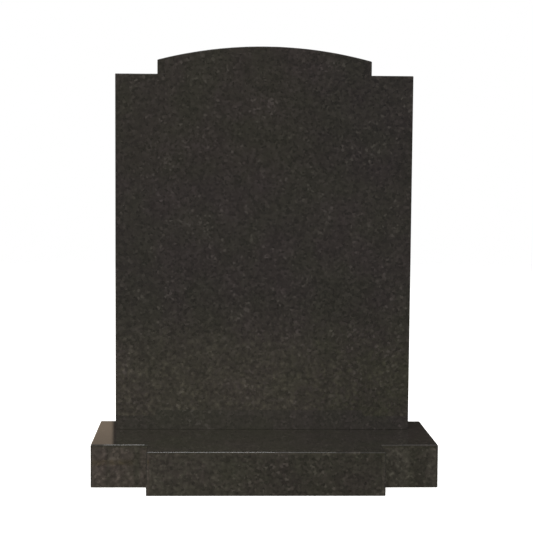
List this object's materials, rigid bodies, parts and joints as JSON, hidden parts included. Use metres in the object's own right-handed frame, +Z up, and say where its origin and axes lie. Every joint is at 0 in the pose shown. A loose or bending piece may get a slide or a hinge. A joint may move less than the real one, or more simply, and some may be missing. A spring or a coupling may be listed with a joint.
{
  "type": "headstone",
  "caption": "Blank upright headstone of polished dark granite: a slab with stepped shoulders and an arched top, set on a low base whose middle breaks forward.",
  "frame": {"origin": "on the underside of the base, below the middle of the whole object's box", "axes": "+Z up, -Y towards the front that is read, +X to the reader's right"},
  "size_m": [0.6, 0.3, 0.7653],
  "materials": {
    "base_granite": "mirror-polished dark granite, with small eased edges and a sawn underside",
    "tablet_granite": "mirror-polished dark granite on the front, sides and top, honed on the back"
  },
  "bodies": {
    "root": {"base": "base_granite", "tablet": "tablet_granite"}
  },
  "joints": []
}
